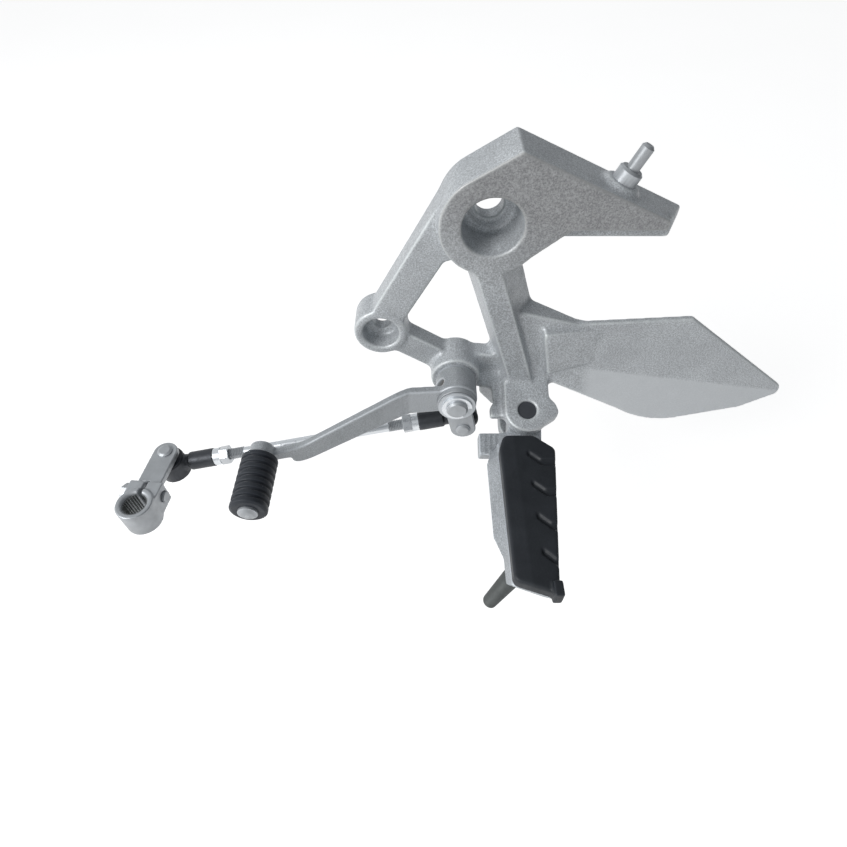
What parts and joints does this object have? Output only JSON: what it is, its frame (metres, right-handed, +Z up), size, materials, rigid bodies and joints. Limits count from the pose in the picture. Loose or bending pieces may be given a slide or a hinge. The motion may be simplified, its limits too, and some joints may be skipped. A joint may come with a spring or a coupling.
{
  "type": "footrest bracket",
  "caption": "Cast left-hand footrest hanger with heel guard, folding rubber-topped footpeg with bank feeler, toe shift lever, shift rod with ball joints and splined clamp arm",
  "frame": {"origin": "centre of the main bolt hole on the face that seats on the motorcycle's frame", "axes": "+X towards the rear of the motorcycle, +Y inboard towards the motorcycle, +Z up"},
  "size_m": [0.39, 0.161, 0.1828],
  "materials": {
    "silver_paint": "silver metallic paint over cast aluminium",
    "lever_silver": "silver metallic paint over forged aluminium",
    "bright_zinc": "bright zinc plated steel",
    "dark_steel": "dark phosphated steel",
    "black_steel": "black coated steel",
    "spring_steel": "drawn spring wire",
    "bush_bronze": "sintered bronze",
    "pale_nylon": "moulded nylon",
    "black_rubber": "moulded black rubber"
  },
  "bodies": {
    "hanger": {"hanger_casting": "silver_paint", "cover_stud": "bright_zinc", "lever_pivot_pin": "bright_zinc", "thrust_washer": "bright_zinc", "pivot_washer": "bright_zinc", "pivot_circlip": "bright_zinc", "footpeg_pin": "black_steel", "footpeg_pin_washer": "bright_zinc", "footpeg_split_pin": "bright_zinc", "return_spring": "spring_steel"},
    "shift_lever": {"shift_lever": "lever_silver", "inner_hub_bush": "bush_bronze", "outer_hub_bush": "bush_bronze", "linkage_tab": "bright_zinc", "rear_ball_stud": "bright_zinc", "toe_spindle": "bright_zinc", "toe_rubber": "black_rubber"},
    "shift_rod": {"shift_rod": "bright_zinc", "rear_rod_end": "black_steel", "rear_ball_seat": "pale_nylon", "rear_dust_boot": "black_rubber", "rear_ferrule": "bright_zinc", "rear_jam_nut": "bright_zinc", "front_rod_end": "black_steel", "front_ball_seat": "pale_nylon", "front_dust_boot": "black_rubber", "front_ferrule": "bright_zinc", "front_jam_nut": "bright_zinc"},
    "shift_arm": {"shift_arm": "bright_zinc", "front_ball_stud": "bright_zinc", "pinch_bolt": "bright_zinc"},
    "footpeg": {"footpeg_casting": "silver_paint", "footpeg_rubber": "black_rubber", "pad_bolts": "bright_zinc", "bank_feeler": "dark_steel"}
  },
  "joints": [
    {"name": "shift_lever_pivot", "type": "hinge", "parent": "hanger", "child": "shift_lever", "pos_m": [-0.0128, -0.042, -0.096], "axis": [0, 1, 0], "range_deg": [-15, 15]},
    {"name": "rod_swivel", "type": "hinge", "parent": "shift_lever", "child": "shift_rod", "pos_m": [-0.00812, -0.041, -0.11729], "axis": [0, 1, 0], "range_deg": [-12, 12]},
    {"name": "arm_swivel", "type": "hinge", "parent": "shift_rod", "child": "shift_arm", "pos_m": [-0.1856, -0.062, -0.1402], "axis": [0, 0, 1], "range_deg": [-40, 40]},
    {"name": "footpeg_fold", "type": "hinge", "parent": "hanger", "child": "footpeg", "pos_m": [0.029, -0.048, -0.1054], "axis": [0, -0.3746, 0.9272], "range_deg": [0, 80], "stiffness_Nm_per_rad": 0.35, "springref_deg": -34.38}
  ]
}
